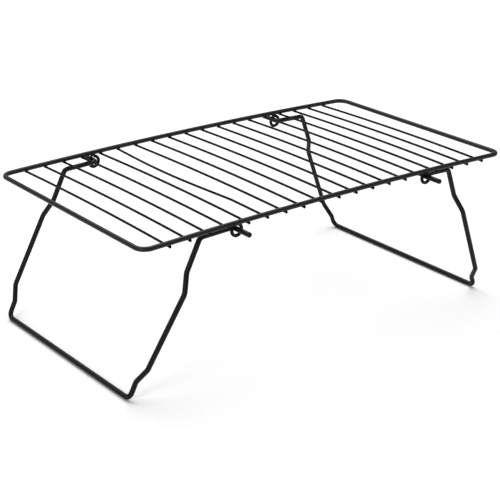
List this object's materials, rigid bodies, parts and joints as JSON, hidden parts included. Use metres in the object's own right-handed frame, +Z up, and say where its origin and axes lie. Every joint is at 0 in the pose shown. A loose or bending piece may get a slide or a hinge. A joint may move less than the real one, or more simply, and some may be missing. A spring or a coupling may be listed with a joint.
{
  "type": "cooling rack",
  "caption": "Rectangular wire cooling rack with a gently crowned deck on fold-down wire legs that splay outwards, all coated satin black.",
  "frame": {"origin": "on the table under the middle of the rack, at the bottom of the foot bars", "axes": "+X along the long sides of the deck, the left end at -X; +Y across it, the front side at -Y; +Z up"},
  "size_m": [0.4117, 0.2442, 0.1426],
  "materials": {
    "rim_black": "satin black coating on steel wire",
    "cross_black": "satin black coating on steel wire",
    "ring_black": "satin black coating on steel wire",
    "leg_black": "satin black coating on steel wire"
  },
  "bodies": {
    "rack": {"rim_wire": "rim_black", "cross_wire_01": "cross_black", "cross_wire_02": "cross_black", "cross_wire_03": "cross_black", "cross_wire_04": "cross_black", "cross_wire_05": "cross_black", "cross_wire_06": "cross_black", "cross_wire_07": "cross_black", "cross_wire_08": "cross_black", "cross_wire_09": "cross_black", "cross_wire_10": "cross_black", "cross_wire_11": "cross_black", "cross_wire_12": "cross_black", "cross_wire_13": "cross_black", "cross_wire_14": "cross_black", "cross_wire_15": "cross_black", "cross_wire_16": "cross_black", "cross_wire_17": "cross_black", "cross_wire_18": "cross_black", "cross_wire_19": "cross_black", "front_left_hinge_ring": "ring_black", "front_right_hinge_ring": "ring_black", "back_left_hinge_ring": "ring_black", "back_right_hinge_ring": "ring_black"},
    "left_leg": {"left_leg": "leg_black"},
    "right_leg": {"right_leg": "leg_black"}
  },
  "joints": [
    {"name": "left_leg_fold", "type": "hinge", "parent": "rack", "child": "left_leg", "pos_m": [-0.10847, 0, 0.13287], "axis": [0, -1, 0], "range_deg": [0, 126]},
    {"name": "right_leg_fold", "type": "hinge", "parent": "rack", "child": "right_leg", "pos_m": [0.10847, 0, 0.13287], "axis": [0, 1, 0], "range_deg": [0, 116]}
  ]
}
